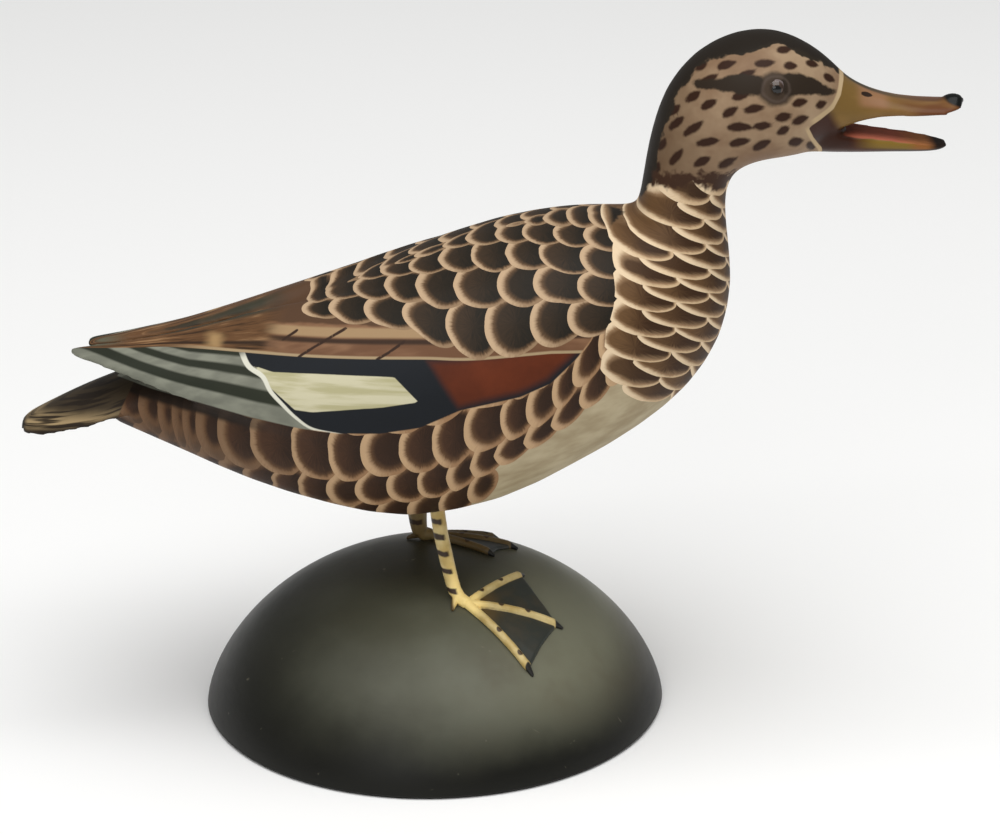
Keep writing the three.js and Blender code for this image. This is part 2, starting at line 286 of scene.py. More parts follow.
base_paint, tree, shader, place = new_material("satin_base_paint")
mottle = speckle(place, 60, 4)
rub = speckle(place, 35, 5, 0.65)
brush = speckle(place, 180, 3, 0.6, (1, 1, 3))
forward, _, height = parts_of(place)
colour = over(ramp(mottle, 0.35, 0.7), linear(84, 84, 69), linear(98, 99, 84))
uneven = rub - 0.5
# Painted shade: the left of the dome is painted nearly black.
colour = over((1 - ramp(forward + 0.008 * uneven, -0.024, 0.003)) * 0.9, colour, linear(20, 20, 15))
# A painted highlight: the middle and right of the dome's front are painted lighter.
colour = over(ramp(forward, 0.002, 0.016) * 0.8, colour, linear(118, 118, 99))
# Painted shade past the highlight: the right edge is painted darker and browner.
colour = over(ramp(forward + 0.008 * uneven, 0.019, 0.028) * 0.8, colour, linear(62, 54, 42))
colour = over(ramp(rub, 0.52, 0.75) * 0.45, colour, linear(76, 66, 50))
# Painted shade: low down, the dome is painted nearly black.
colour = over(1 - ramp(height + 0.006 * uneven, 0.002, 0.0115), colour, linear(18, 18, 13))
# Outside the painted highlight, the top is painted darker.
colour = over(ramp(height, 0.0165, 0.0188) * 0.7, colour, linear(48, 46, 34))
scratch = ramp(speckle(place, 260, 2, 0.5, (1, 7, 1.5)), 0.76, 0.8) * 0.5
scratch = scratch + ramp(speckle(place, 620, 2), 0.72, 0.8)
colour = over(scratch * 0.4, colour, linear(128, 122, 104))
plug(colour, shader.inputs["Base Color"])
plug(0.34 + 0.1 * brush + 0.08 * rub, shader.inputs["Roughness"])
shader.inputs["Specular IOR Level"].default_value = 0.2
bump(tree, shader, brush + 0.5 * mottle, 0.00012, 0.35)
base.data.materials.append(base_paint)
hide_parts("domed_base")
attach(base, "root")


# The carved bird: body, head, bill, folded wings and tail in one block of wood.
# Its skin is worked smooth, with the wings' edges left standing where they come free.
def copy_of(node, name):
    """A piece of its own with a CAD node's skin, joined up."""
    piece = bpy.data.objects.new(name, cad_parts[node].data.copy())
    bpy.context.scene.collection.objects.link(piece)
    piece.data.materials.clear()
    bpy.ops.object.select_all(action="DESELECT")
    piece.select_set(True)
    bpy.context.view_layer.objects.active = piece
    bpy.ops.object.mode_set(mode="EDIT")
    bpy.ops.mesh.select_all(action="SELECT")
    bpy.ops.mesh.remove_doubles(threshold=0.000002)
    bpy.ops.mesh.normals_make_consistent(inside=False)
    bpy.ops.object.mode_set(mode="OBJECT")
    return piece


def modified(piece, kind, **settings):
    modifier = piece.modifiers.new(kind.lower(), kind)
    for setting, value in settings.items():
        setattr(modifier, setting, value)
    bpy.context.view_layer.objects.active = piece
    bpy.ops.object.modifier_apply(modifier=modifier.name)


def points_of(piece):
    points = np.empty(len(piece.data.vertices) * 3)
    piece.data.vertices.foreach_get("co", points)
    return points.reshape(-1, 3) / MM


SKIN_MESH = 0.375
SANDING_PASSES = 48
PAINT_BUILD = 0.08
duck = copy_of("carved_duck", "painted_duck")
modified(duck, "REMESH", mode="VOXEL", voxel_size=SKIN_MESH * MM, use_smooth_shade=True)
x, y, z = points_of(duck).T
# The bill is sanded least, and the tail and the wing tips a little less than the body.
sanded = np.clip((46 - x) / 3, 0.35, 1) * np.clip((x + 34) / 8, 0.75, 1)
sanding = duck.vertex_groups.new(name="sanding")
for index, weight in enumerate(sanded):
    sanding.add([index], float(weight), "REPLACE")
modified(duck, "SMOOTH", factor=0.5, iterations=SANDING_PASSES, vertex_group="sanding")
modified(duck, "DISPLACE", strength=PAINT_BUILD * MM, mid_level=0, vertex_group="sanding")
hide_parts("carved_duck")
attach(duck, "root")

# The painted plumage, in thin oil paint with a satin varnish.
# Marks are placed on a drawing of the bird's side: how far forward, and how high as seen from
# a little above, in mm. Both sides are painted alike.
VIEW_TILT = math.radians(21)
x, y, z = points_of(duck).T
side = np.abs(y)
high = z * math.cos(VIEW_TILT) - side * math.sin(VIEW_TILT)
facing = np.empty(len(x) * 3)
duck.data.vertices.foreach_get("normal", facing)
facing = facing.reshape(-1, 3)
upward = facing[:, 2]
turned_away = facing[:, 1] * np.sign(y) * math.cos(VIEW_TILT) + facing[:, 2] * math.sin(VIEW_TILT) < 0
# Under the belly, which that drawing doesn't see, the drawing is folded over at the lowest line.
TAIL_SLICE = -60
lowest = np.full(200, 99.0)
np.minimum.at(lowest, np.round(x).astype(int) - TAIL_SLICE, high)
under = turned_away & (x > -34) & (x < 32) & (z < 46)
high = np.where(under, 2 * np.interp(x, np.arange(len(lowest)) + TAIL_SLICE, lowest) - high, high)
drawing = np.c_[x, high]


def keep(name, values, piece=duck):
    """Stores a number, or three, with each point of a piece's skin."""
    kind, part = ("FLOAT", "value") if values.ndim == 1 else ("FLOAT_VECTOR", "vector")
    kept = piece.data.attributes.new(name, kind, "POINT")
    kept.data.foreach_set(part, values.ravel().astype(np.float32))


def curved(corners, steps=8, closed=False):
    """A smooth line through points."""
    corners = np.asarray(corners, float)
    if closed:
        corners = np.vstack([corners[-1], corners, corners[0], corners[1]])
    else:
        corners = np.vstack([2 * corners[0] - corners[1], corners, 2 * corners[-1] - corners[-2]])
    line = []
    for a, b, c, d in zip(corners, corners[1:], corners[2:], corners[3:]):
        for s in np.arange(steps) / steps:
            bend = 2 * a - 5 * b + 4 * c - d + s * (3 * (b - c) + d - a)
            line.append(b + 0.5 * s * (c - a + s * bend))
    if not closed:
        line.append(corners[-2])
    return np.array(line)


def inside_of(outline):
    """How far inside a closed outline each point of the drawing is, in mm; less than 0 outside."""
    outline = np.asarray(outline, float)
    nearest = np.full(len(drawing), 1e9)
    within = np.zeros(len(drawing), bool)
    for a, b in zip(outline, np.roll(outline, -1, 0)):
        edge = b - a
        share = np.clip(((drawing - a) @ edge) / max(edge @ edge, 1e-9), 0, 1)
        gap = drawing - a - share[:, None] * edge
        nearest = np.minimum(nearest, np.hypot(*gap.T))
        crosses = (a[1] > drawing[:, 1]) != (b[1] > drawing[:, 1])
        rise = b[1] - a[1] if b[1] != a[1] else 1e-9
        within ^= crosses & (drawing[:, 0] < a[0] + (drawing[:, 1] - a[1]) * edge[0] / rise)
    return np.where(within, nearest, -nearest)


def beside(line):
    """How far to the left of a line each point of the drawing is, and how far along it, in mm."""
    line = np.asarray(line, float)
    nearest = np.full(len(drawing), 1e9)
    across = np.zeros(len(drawing))
    along = np.zeros(len(drawing))
    done = 0.0
    for part, (a, b) in enumerate(zip(line, line[1:])):
        edge = b - a
        length = max(np.hypot(*edge), 1e-9)
        share = ((drawing - a) @ edge) / length**2
        held = np.clip(share, -1e9 if part == 0 else 0, 1e9 if part == len(line) - 2 else 1)
        gap = drawing - a - held[:, None] * edge
        distance = np.hypot(*gap.T)
        turn = np.sign(edge[0] * (drawing[:, 1] - a[1]) - edge[1] * (drawing[:, 0] - a[0]))
        closer = distance < nearest
        nearest = np.where(closer, distance, nearest)
        across = np.where(closer, turn * distance, across)
        along = np.where(closer, done + held * length, along)
        done += length
    return across, along


def keep_beside(name, line):
    """Stores how far beside a line, and how far along it, each point of the drawing is."""
    across, along = beside(line)
    keep(name, np.c_[across, along, np.zeros(len(across))])


def marks(strokes, width):
    """How far inside the nearest of some tapered brush strokes each point is."""
    best = np.full(len(drawing), -9.0)
    for mark_x, mark_high, length, slant in strokes:
        lean = math.radians(slant)
        reach = max(length - 0.5 * width, 0.1) / 2
        towards = np.array([math.cos(lean), math.sin(lean)])
        gap = drawing - [mark_x, mark_high]
        along = np.clip(gap @ towards, -reach, reach)
        gap = gap - along[:, None] * towards
        half_width = width / 2 * (1 - 0.5 * (along / reach + 0.25) ** 2)
        best = np.maximum(best, half_width - np.hypot(*gap.T))
    return best


# Back and shoulder feathers: rows along the body, each over the one below, smaller towards the crest.
# For each x, the height of the lower edge of rows one to five, and of the crest.
BACK_ROWS = np.array([
    [-20.0, 46.5, 47.4, 48.4, 49.4, 50.4, 51.4],
    [-14.9, 46.5, 48.0, 49.4, 50.6, 51.8, 53.0],
    [-12.8, 46.4, 48.2, 49.8, 51.0, 52.2, 53.4],
    [-9.3, 45.6, 48.6, 50.6, 51.8, 52.9, 54.0],
    [-5.0, 45.2, 48.2, 51.0, 52.3, 53.6, 54.9],
    [-1.5, 44.2, 47.8, 51.2, 52.9, 54.3, 55.7],
    [1.0, 42.8, 47.2, 51.3, 53.8, 55.2, 56.6],
    [3.6, 41.8, 47.0, 51.3, 54.4, 55.8, 57.3],
    [6.4, 41.0, 47.2, 51.3, 54.5, 56.2, 57.9],
    [9.3, 41.4, 47.2, 51.3, 54.6, 56.6, 58.4],
    [11.5, 42.0, 47.1, 51.5, 54.6, 56.8, 58.8],
    [15.2, 42.6, 47.6, 51.1, 54.2, 56.5, 58.8],
    [18.5, 43.4, 47.1, 50.5, 53.8, 56.2, 58.6],
    [21.4, 44.4, 46.9, 50.1, 53.3, 56.0, 58.4],
    [25.0, 45.4, 47.9, 50.9, 53.6, 56.2, 58.4],
])
edges = np.array([np.interp(x, BACK_ROWS[:, 0], column) for column in BACK_ROWS.T[1:]])
back_row = (edges[0] - high) / np.maximum(edges[1] - edges[0], 0.1)
for row in range(1, 5):
    rise = (high - edges[row]) / np.maximum(edges[row + 1] - edges[row], 0.1)
    back_row = np.where(high > edges[row], -row - rise, back_row)
# Where the feathers' tail ends fall, from the lowest row up, and from the breast towards the tail.
BACK_ENDS = [
    [25.4, 21.2, 15.9, 11.6, 6.3, 2.0, -3.0, -7.6, -11.6, -14.8, -17.6, -20.2, -22.6],
    [26.0, 21.8, 17.2, 12.1, 7.9, 2.8, -1.6, -5.2, -8.8, -12.1, -14.4, -17.2, -19.8],
    [25.9, 21.8, 17.5, 12.9, 8.9, 5.1, 1.3, -2.2, -5.6, -8.7, -10.9, -13.8, -16.4],
    [25.0, 21.6, 18.0, 14.7, 11.1, 7.9, 4.5, 1.5, -1.8, -4.9, -7.8, -10.6, -13.4],
    [24.4, 21.6, 18.9, 16.4, 13.4, 11.0, 8.1, 5.2, 2.2, -0.8, -3.8, -6.8, -9.8],
    [24.2, 22.0, 19.8, 17.5, 14.8, 12.5, 9.8, 7.0, 4.2, 1.4, -1.4, -4.2, -7.0],
]


def counted(ends, row_place):
    """How many feathers towards the tail each point is, how that grows by row, and their length."""
    ends = np.array(ends)
    numbers = np.arange(ends.shape[1]) - 2
    count = np.array([np.interp(-x, -row, numbers) for row in ends])
    length = np.array([np.interp(-x, -(row[1:] + row[:-1]) / 2, -np.diff(row)) for row in ends])
    growth = np.diff(count, axis=0)
    growth = np.vstack([growth, growth[-1:]])
    every = np.arange(len(x))
    last = len(ends) - 2
    row = np.clip(row_place, 0, last).astype(int)
    share = np.clip(row_place - row, -1, 2)
    number = count[row, every] + share * growth[row, every]
    half_row = np.clip(row_place - 0.5, 0, last)
    lower = half_row.astype(int)
    part = half_row - lower
    drift = (1 - part) * growth[lower, every] + part * growth[lower + 1, every]
    share = np.clip(share, 0, 1)
    return number, drift, (1 - share) * length[row, every] + share * length[row + 1, every]


# The ends are measured a little above the middle of each row.
number, drift, length = counted(BACK_ENDS, -back_row - 0.62)
keep("back_rows", np.c_[number, back_row, length])
keep("back_rows_drift", -drift)

# Flank feathers: two or three rows under the wing's lower edge.
# x, the wing's edge, the foot of row one, the foot of row two.
FLANK_ROWS = np.array([
    [-42.0, 40.5, 38.0, 36.0],
    [-36.0, 39.0, 35.2, 32.4],
    [-31.2, 37.8, 32.8, 29.6],
    [-28.9, 37.2, 31.5, 28.2],
    [-25.9, 36.3, 30.4, 27.2],
    [-23.0, 35.6, 29.3, 26.0],
    [-19.7, 34.8, 28.7, 25.2],
    [-15.2, 33.8, 28.0, 24.6],
    [-10.2, 32.9, 27.3, 24.2],
    [-5.9, 32.8, 27.8, 24.5],
    [-1.3, 33.1, 28.3, 24.9],
    [2.8, 34.5, 28.9, 25.8],
    [5.7, 35.5, 30.5, 27.5],
    [9.4, 36.4, 31.8, 29.2],
    [12.6, 37.6, 33.3, 31.1],
    [15.5, 39.5, 35.7, 33.0],
    [17.6, 41.8, 37.9, 34.6],
    [22.0, 47.0, 42.0, 38.4],
])
edges = np.array([np.interp(x, FLANK_ROWS[:, 0], column) for column in FLANK_ROWS.T[1:]])
flank_row = (edges[0] - high) / (edges[0] - edges[1])
flank_row = np.where(high < edges[1], 1 + (edges[1] - high) / (edges[1] - edges[2]), flank_row)
FLANK_ENDS = [
    [22.5, 19.4, 16.3, 14.0, 10.9, 8.1, 3.8, 0.2, -3.7, -8.2,
     -11.8, -16.1, -20.8, -24.8, -27.4, -28.9, -30.2, -31.9, -34.3, -37],
    [23.3, 20.2, 17.1, 13.8, 10.5, 7.2, 4.4, 1.6, -1.6, -5.2,
     -8.9, -12.3, -15.4, -18.5, -22.0, -25.0, -27.5, -29.5, -32, -35],
    [25.0, 22.0, 19.0, 15.6, 12.3, 9.3, 6.6, 4.2, 0.8, -3.0,
     -6.6, -10.0, -13.2, -16.6, -20.0, -23.0, -26.0, -28.5, -31, -34],
]
number, drift, length = counted(FLANK_ENDS, flank_row - 0.4)
keep("flank_rows", np.c_[number, flank_row, length])
keep("flank_rows_drift", drift)

# Breast feathers: broad scales hanging down the front, in rings that rise towards the back.
FRONT_HEIGHTS = [34, 37, 41.6, 47.4, 53.8, 60.1, 64.6, 67.5]
front_x = np.interp(z, FRONT_HEIGHTS, [20, 24.6, 30.6, 34.4, 35.7, 35.2, 35.0, 36.2])
round_front = np.hypot(np.maximum(front_x - x, 0), side)
ring = 10 + 0.67 * (54 - z) + 0.22 * round_front - 0.33
width = np.interp(z, [30, 45, 50, 53, 56, 58.5, 62, 66], [9.2, 9.2, 9.0, 8.8, 8.0, 7.4, 6.2, 5.2])
# The last feather of each ring is crowded against the back's, so it is narrower.
CROWDED = 0.25
count = round_front / width
width = width / (1 + CROWDED * np.clip((count - 1.85) / 0.1, 0, 1))
count = count + CROWDED * np.maximum(count - 1.9, 0)
keep("breast_rows", np.c_[count, ring, width])

# Wing: the marks of the folded wing, below the back feathers.
wing_outline = [
    (-43.5, 43.6), (-42.4, 41.9), (-38.1, 40.4), (-32.5, 38.4), (-26.6, 36.7), (-20.9, 35.0),
    (-15.2, 33.6), (-10.4, 32.9), (-5.8, 32.8), (-1.2, 33.4), (3.4, 35.3), (10.3, 36.7),
    (13.9, 38.2), (16.9, 41.0), (18.6, 43.2), (20, 60), (-20, 60), (-36, 46),
]
keep("wing", inside_of(wing_outline))
wing_low = curved([
    (-45, 42.6), (-41.4, 41.9), (-37.1, 40.3), (-32.0, 38.4),
    (-26.5, 36.7), (-20.9, 35.0), (-15.2, 33.6), (-8, 32.6),
])
quill_spread = np.interp(x, [-41, -34, -28, -22, -16], [1.0, 0.95, 1.0, 1.22, 1.35])
keep("quills", beside(wing_low)[0] / quill_spread)
tertial_low = curved([
    (-46, 43.5), (-36.5, 43.3), (-30.8, 43.3), (-26.7, 43.0), (-21.9, 42.5),
    (-14.8, 41.8), (-7.9, 41.4), (-0.4, 41.2), (5, 41.0), (14, 41.6),
])
crest_line = [
    (-49, 43.4), (-42.1, 43.6), (-38.3, 44.0), (-33, 44.6), (-29.5, 45.2),
    (-22.3, 46.8), (-15.1, 48.5), (-8, 50.5), (20, 58),
]
crest = np.interp(x, *np.array(crest_line).T)
edge = np.interp(x, *tertial_low.T)
keep("tertials", np.c_[high - edge, x, (high - edge) / np.maximum(crest - edge, 0.2)])
speculum_outline = [
    (-20.3, 40.9), (-18.0, 40.1), (-4.0, 39.25), (-1.3, 36.35),
    (-5.5, 35.8), (-13.5, 35.4), (-15.5, 35.7), (-18.2, 38.2),
]
keep("speculum", inside_of(speculum_outline))
white_line = curved([
    (-21.9, 43.0), (-20.9, 40.9), (-19.2, 39.6), (-18.3, 37.9),
    (-16.9, 36.3), (-15.4, 34.8), (-13.5, 33.5), (-10.2, 32.8),
])
keep_beside("white_line", white_line)
chestnut_outline = [
    (-0.9, 41.4), (3.7, 41.6), (12.1, 42.5), (18.9, 44.4), (18.9, 42.9),
    (16.9, 41.0), (13.9, 38.2), (10.3, 36.7), (3.0, 35.0), (1.0, 38.0),
]
keep("chestnut", inside_of(chestnut_outline))
feather_edges = np.full(len(x), -9.0)
for line in (
    [(-16.9, 43.8), (-15.2, 44.9)],
    [(-15.0, 41.8), (-13.2, 42.9), (-9.5, 45.0)],
    [(-6.0, 41.3), (-4.7, 42.0), (-2.8, 43.3)],
):
    across, along = beside(line)
    length = sum(math.dist(a, b) for a, b in zip(line, line[1:]))
    past_end = np.maximum(np.maximum(-along, along - length), 0)
    feather_edges = np.maximum(feather_edges, 0.16 - np.hypot(across, past_end))
keep("feather_edges", feather_edges)

# Tail: streaks along its length, dark at the tip and along the lower edge.
tail_outline = [
    (-34.0, 41.2), (-38.5, 39.9), (-45.1, 37.6), (-49.5, 36.0),
    (-50, 32.6), (-42.4, 32.9), (-37.4, 33.4), (-36.0, 36.6),
]
keep("tail", inside_of(tail_outline))
keep_beside("tail_streaks", curved([
    (-50.5, 33.9), (-47.4, 33.3), (-42.4, 33.5), (-38.2, 34.2), (-33, 36.0),
]))

# Head: a dark cap that runs down the nape, a dark line through the eye, and short dashes in rows.
cap_low = curved([
    (24.0, 58.5), (26.3, 60.9), (27.0, 64.9), (28.1, 68.4), (29.0, 71.0), (30.3, 72.6),
    (31.4, 73.9), (33.3, 75.1), (36.1, 75.2), (37.6, 75.6), (39.2, 76.3), (40.4, 76.5),
    (42.0, 76.0), (43.6, 75.3), (45.7, 74.5), (47.5, 73.6), (49.5, 72.5),
])
keep("cap", beside(cap_low)[0])
# x, height, length and slant in degrees of each dash.
HEAD_DASHES = [
    (34.7, 74.2, 1.9, 15), (32.6, 72.6, 2.1, 25), (36.8, 73.0, 1.9, 20), (39.0, 74.2, 2.2, 5),
    (30.9, 70.8, 1.8, 35), (32.6, 69.8, 1.8, 25), (28.8, 69.4, 1.5, 35), (36.2, 70.6, 2.0, 15),
    (34.9, 68.8, 1.8, 30), (37.6, 69.0, 2.2, 8), (29.0, 67.9, 1.8, 40), (30.9, 67.2, 2.4, 35),
    (36.1, 67.0, 2.6, -3), (38.6, 67.1, 1.9, 0), (32.5, 65.5, 2.4, 8), (36.1, 65.4, 2.2, 10),
    (38.6, 65.1, 1.9, 25), (42.6, 65.4, 1.7, 10), (29.0, 64.1, 2.0, 50), (31.9, 63.4, 1.8, 25),
    (34.9, 63.3, 2.2, 25), (41.0, 68.1, 1.9, 10), (41.0, 66.6, 1.5, 25), (43.0, 67.8, 1.9, 20),
    (42.9, 69.7, 1.7, 15), (45.5, 69.6, 1.3, 25), (44.6, 74.2, 1.4, -10), (41.4, 75.9, 1.7, 10),
    (46.6, 72.6, 1.3, -25), (41.9, 73.9, 1.5, 0), (44.7, 65.1, 1.3, 5), (31.9, 74.3, 1.4, 30),
    (27.4, 65.6, 1.4, 60), (26.7, 62.9, 1.6, 60), (34.0, 61.0, 1.6, 40),
]
keep("dashes", marks([(a, b, 1.15 * length, lean) for a, b, length, lean in HEAD_DASHES], 0.95))
eye_line_front = [
    (41.0, 73.0), (43.0, 72.9), (44.6, 72.4), (46.0, 71.7), (47.3, 71.1),
    (46.5, 70.7), (44.4, 70.6), (42.5, 70.5), (41.0, 70.4),
]
eye_line_back = [
    (31.0, 72.5), (33.3, 72.6), (35.6, 73.0), (37.6, 72.8), (38.6, 72.3),
    (38.0, 70.6), (35.4, 70.8), (33.0, 71.4), (31.3, 71.6),
]
eye_lines = [inside_of(curved(line, closed=True)) for line in (eye_line_front, eye_line_back)]
keep("eye_line", np.maximum(*eye_lines))
keep("eye_ring", 1.9 - np.hypot((drawing[:, 0] - 40.0) / 1.1, drawing[:, 1] - 71.2))
bill_edge = [(48.35, 72.6), (47.9, 70.7), (47.0, 69.1), (45.3, 67.8), (43.9, 66.9)]
jaw_edge = [(44.6, 65.9), (45.8, 64.9)]
keep_beside("bill_base", curved([(48.6, 74.6)] + bill_edge))
keep_beside("jaw_base", curved(bill_edge[-1:] + jaw_edge + [(46.4, 63.8)]))
keep("bill", inside_of([(48.9, 75.5)] + bill_edge + jaw_edge + [(46.6, 63.0), (66, 62), (66, 76)]))
gape = np.interp(x, [44, 47.2, 50.5, 54.0, 57.5, 63], [72.0, 72.2, 72.6, 72.7, 72.4, 72.3])
keep("gape", z - gape)
keep("side", side)
keep("upward", upward)
bill_x = [44.5, 47.0, 49.2, 51.5, 54.5, 57.5, 60.3, 62.6]
top = np.interp(x, bill_x, [80.6, 80.0, 78.2, 76.9, 75.9, 75.4, 75.2, 75.1])
foot = np.interp(x, bill_x, [72.1, 72.1, 72.7, 73.3, 73.6, 73.7, 73.9, 74.3])
keep("upper_bill", (z - foot) / (top - foot))
jaw_x = [44.0, 47.2, 50.5, 54.0, 57.5, 59.8, 61.0]
top = np.interp(x, jaw_x, [72.6, 72.7, 72.3, 71.7, 71.1, 70.7, 70.4])
foot = np.interp(x, [44.0, 54.0, 59.8, 61.0], [69.5, 69.3, 69.4, 69.8])
keep("lower_bill", (z - foot) / (top - foot))
keep("nail", 1.0 - np.sqrt(((x - 61.7) / 1.5) ** 2 + (y / 1.8) ** 2 + ((z - 75.3) / 1.3) ** 2))
keep("nostril", marks([(51.2, 70.85, 1.5, -12)], 0.62))

# The nodes that draw overlapping feathers, each rounded towards the tail and its lower edge.
# Along counts feathers towards the tail, and down counts rows. The limits end a tract.
FEATHER_SETTINGS = {
    "Drift": 0.0, "Aspect": 1.0, "Stagger": 0.0, "Middle Along": 0.28, "Reach Along": 0.72,
    "Middle Down": 0.38, "Reach Down": 0.66, "Hood": 1.0, "Roundness": 2.0, "Lean": 0.0,
    "Row Limit": -0.5, "Row Limit Slope": 0.0, "Count Limit": 40.0, "Count Limit Slope": 0.0,
    "Count Least": 0.0, "Count Most": 40.0,
}
FEATHER_RESULTS = ("Covered", "Depth", "Random", "Tailward", "Downward")
feathers, given, given_back = new_group("feather_rows", ("Rows", *FEATHER_SETTINGS), FEATHER_RESULTS)
given_out = {name: Value(given.outputs[name]) for name in ("Rows", *FEATHER_SETTINGS)}


def chance(value, second):
    """A number from 0 to 1 that stays the same for the same two values."""
    return reckon("FRACT", reckon("SINE", value * 12.9898 + second * 78.233) * 4375.85)


along, row_place, feather_length = parts_of(given_out["Rows"])
row_here = reckon("FLOOR", row_place)
row_share = reckon("FRACT", row_place)


def feather(row_step, step):
    """One feather that may cover a point: whether it does, how far inside its edge, and where on it."""
    row = row_here + row_step
    phase = reckon("FRACT", (row + 50) * given_out["Stagger"])
    from_middle = row_share - row_step - given_out["Middle Down"]
    place_in_row = along - given_out["Drift"] * from_middle + phase
    index = reckon("FLOOR", place_in_row) + step
    random = chance(index + 0.5, row + 0.5)
    across = (reckon("FRACT", place_in_row) - step) - given_out["Middle Along"] + 0.06 * (random - 0.5)
    across = across / given_out["Reach Along"]
    down = from_middle / given_out["Reach Down"]
    down = reckon("MAXIMUM", down, 0.0) + reckon("MINIMUM", down, 0.0) * given_out["Hood"]
    across = across + given_out["Lean"] * down
    roundness = given_out["Roundness"]
    wide = reckon("MAXIMUM", reckon("ABSOLUTE", across), 0.001)
    tall = reckon("MAXIMUM", reckon("ABSOLUTE", down), 0.001)
    radius = (wide ** roundness + tall ** roundness) ** (1 / roundness)
    steep_along = wide ** (roundness - 1) / given_out["Reach Along"]
    leaning = given_out["Lean"] * wide ** (roundness - 1) * reckon("SIGN", across) * reckon("SIGN", down)
    steep_down = (tall ** (roundness - 1) + leaning) / (given_out["Reach Down"] * given_out["Aspect"])
    steep = reckon("SQRT", steep_along * steep_along + steep_down * steep_down)
    depth = (1 - radius) * radius ** (roundness - 1) / steep * feather_length
    centre = index - phase + 0.5
    last = given_out["Count Limit"] + given_out["Count Limit Slope"] * row
    last = reckon("MINIMUM", reckon("MAXIMUM", last, given_out["Count Least"]), given_out["Count Most"])
    exists = reckon("LESS_THAN", centre, last)
    last_row = given_out["Row Limit"] + given_out["Row Limit Slope"] * centre
    exists = exists * reckon("LESS_THAN", row, last_row)
    covers = reckon("LESS_THAN", radius, 1.0) * exists
    return [covers, depth, random, across, down]


chosen = feather(1, 1)
for row_step, step in ((1, 0), (0, 1), (0, 0), (-1, 1), (-1, 0)):
    candidate = feather(row_step, step)
    covers = candidate[0]
    chosen = [under + covers * (upper - under) for under, upper in zip(chosen, candidate)]
for name, value in zip(FEATHER_RESULTS, chosen):
    plug(value, given_back.inputs[name])

plumage, tree, shader, place = new_material("painted_plumage")


def layer(name, output="Fac"):
    """A number kept with the points of the skin."""
    node = tree.nodes.new("ShaderNodeAttribute")
    node.attribute_name = name
    return Value(node.outputs[output])


def layers(name):
    return layer(name, "Vector")


def feather_rows(name, settings):
    """A tract of feathers, laid out by an attribute of the skin, and a little uneven."""
    second = speckle(place, 187, 2, 0.55, (1, 1.1, 0.9))
    waver = joined((speckle(place, 170, 2) - 0.5) * 0.1, (second - 0.5) * 0.1)
    rows = layers(name)
    node = tree.nodes.new("ShaderNodeVectorMath")
    plug(rows, node.inputs[0])
    plug(waver, node.inputs[1])
    group = tree.nodes.new("ShaderNodeGroup")
    group.node_tree = feathers
    tree.links.new(node.outputs[0], group.inputs["Rows"])
    for setting, usual in FEATHER_SETTINGS.items():
        plug(settings.get(setting, usual), group.inputs[setting])
    return {s.name: Value(s) for s in group.outputs}


def painted_feathers(rows, rim, pale, dim, middle, dark, darker, fade=0.0, hair=0.55):
    """The colour of a tract: a pale rim, widest at the tail end, a brown band inside it, a dark heart."""
    tailward = rows["Tailward"]
    turn = reckon("ARCTAN2", rows["Downward"], tailward)
    barbs = speckle(joined(turn * 2.4, rows["Depth"] * 0.16, rows["Random"] * 37), 5, 3, 0.65)
    rim = rim * (0.55 + 0.55 * ramp(tailward, -0.2, 0.9)) * (0.75 + 0.5 * rows["Random"])
    depth = rows["Depth"] + hair * (barbs - 0.5) + 0.2 * (fine - 0.5)
    heart = over(ramp(tailward + 1.4 * (barbs - 0.5), -0.5, 0.7), darker, dark)
    heart = over(ramp(rows["Random"], 0.3, 1.0) * 0.6, heart, darker)
    foot = ramp(rows["Downward"] - 0.25 * tailward + 0.5 * (barbs - 0.5), 0.35, 0.95)
    heart = over(foot * fade, heart, middle)
    inner = over(1 - ramp(depth, rim * 0.7, rim * 2.3), heart, middle)
    edge = over(ramp(tailward + 1.2 * (barbs - 0.5), -0.3, 0.8), dim, pale)
    return over(1 - ramp(depth, rim * 0.45, rim * 1.4), inner, edge)


forward, _, up = parts_of(place)
forward = forward / MM
up = up / MM
grain = speckle(place, 900, 3, 0.6)
blotch = speckle(place, 120, 4, 0.6)
fine = speckle(place, 1100, 2, 0.6)
waver = speckle(place, 300, 2, 0.5) - 0.5
quick_waver = speckle(place, 750, 2, 0.6) - 0.5

back = feather_rows("back_rows", {
    "Drift": layer("back_rows_drift"), "Aspect": 0.95,
    "Count Limit": 6.0, "Count Limit Slope": -1.0, "Count Most": 14.0,
})
back_paint = painted_feathers(
    back, 0.66, linear(188, 160, 128), linear(142, 116, 88),
    linear(106, 80, 56), linear(60, 45, 31), linear(29, 25, 18),
)
flank = feather_rows("flank_rows", {
    "Drift": layer("flank_rows_drift"), "Middle Down": 0.4, "Reach Down": 0.64, "Roundness": 2.1,
    "Row Limit": 1.29, "Row Limit Slope": 0.16,
})
towards_tail = 1 - ramp(forward, -30, -8)
flank_paint = painted_feathers(
    flank, 0.74, over(towards_tail, linear(188, 156, 120), linear(108, 81, 58)),
    over(towards_tail, linear(148, 114, 82), linear(76, 56, 40)),
    linear(100, 72, 48), linear(70, 46, 30), linear(42, 27, 17), fade=0.2,
)
breast = feather_rows("breast_rows", {
    "Aspect": 0.17, "Stagger": 0.5, "Middle Along": 0.5, "Reach Along": 0.52,
    "Middle Down": 1.0, "Reach Down": 1.05, "Hood": 0.45, "Lean": 0.2, "Row Limit": 18.2,
    "Count Limit": 1.2, "Count Limit Slope": 0.16, "Count Least": 1.8, "Count Most": 2.3,
})
breast_paint = painted_feathers(
    breast, 0.5, linear(224, 200, 166), linear(200, 172, 136),
    linear(156, 126, 94), linear(104, 76, 48), linear(56, 36, 20), fade=0.8, hair=0.28,
)
belly_grain = speckle(place, 330, 3, 0.6, (0.3, 1, 1))
